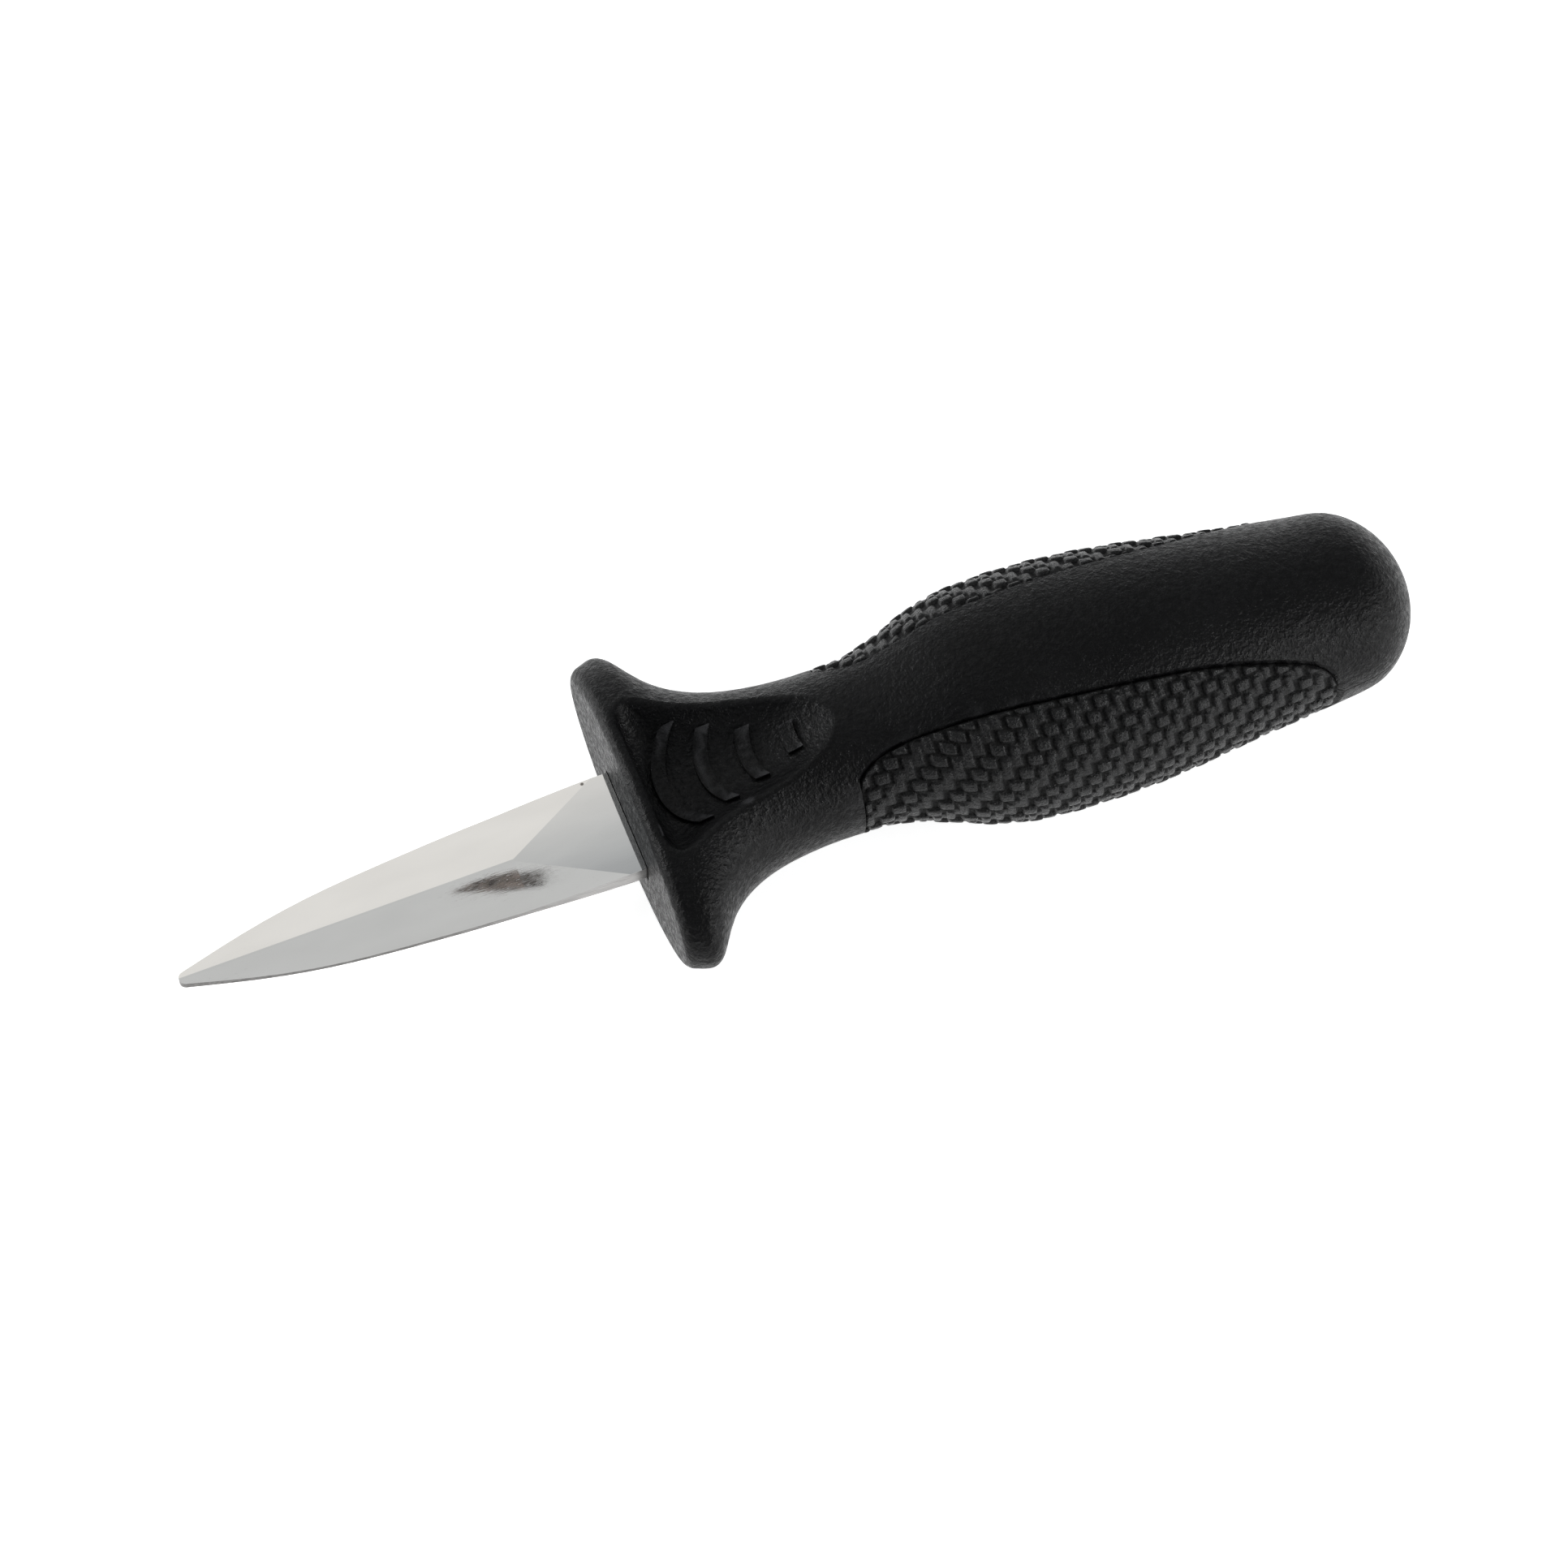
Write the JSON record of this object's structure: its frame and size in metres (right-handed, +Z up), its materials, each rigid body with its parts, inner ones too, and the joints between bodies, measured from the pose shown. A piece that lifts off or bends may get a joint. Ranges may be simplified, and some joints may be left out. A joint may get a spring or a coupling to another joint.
{
  "type": "oyster knife",
  "caption": "Short double-edged oyster knife with a spear point, a flared finger guard, a ribbed thumb scoop and a swelling black handle with textured side grips.",
  "frame": {"origin": "on the ground, under the middle of the knife's bounding box as it lies flat", "axes": "+X along the knife towards the butt, so the point faces -X; +Y across the knife; +Z up, on the thumb scoop's side"},
  "size_m": [0.1646, 0.046, 0.0287],
  "materials": {
    "polished_steel": "polished stainless steel, fine ground along the bevels",
    "handle_plastic": "black, fine grained, matte",
    "core_plastic": "hard grey moulding",
    "grip_rubber": "black soft moulding with a woven block texture"
  },
  "bodies": {
    "root": {"blade": "polished_steel", "handle_body": "handle_plastic", "handle_core": "core_plastic", "grip_panel_left": "grip_rubber", "grip_panel_right": "grip_rubber"}
  },
  "joints": []
}
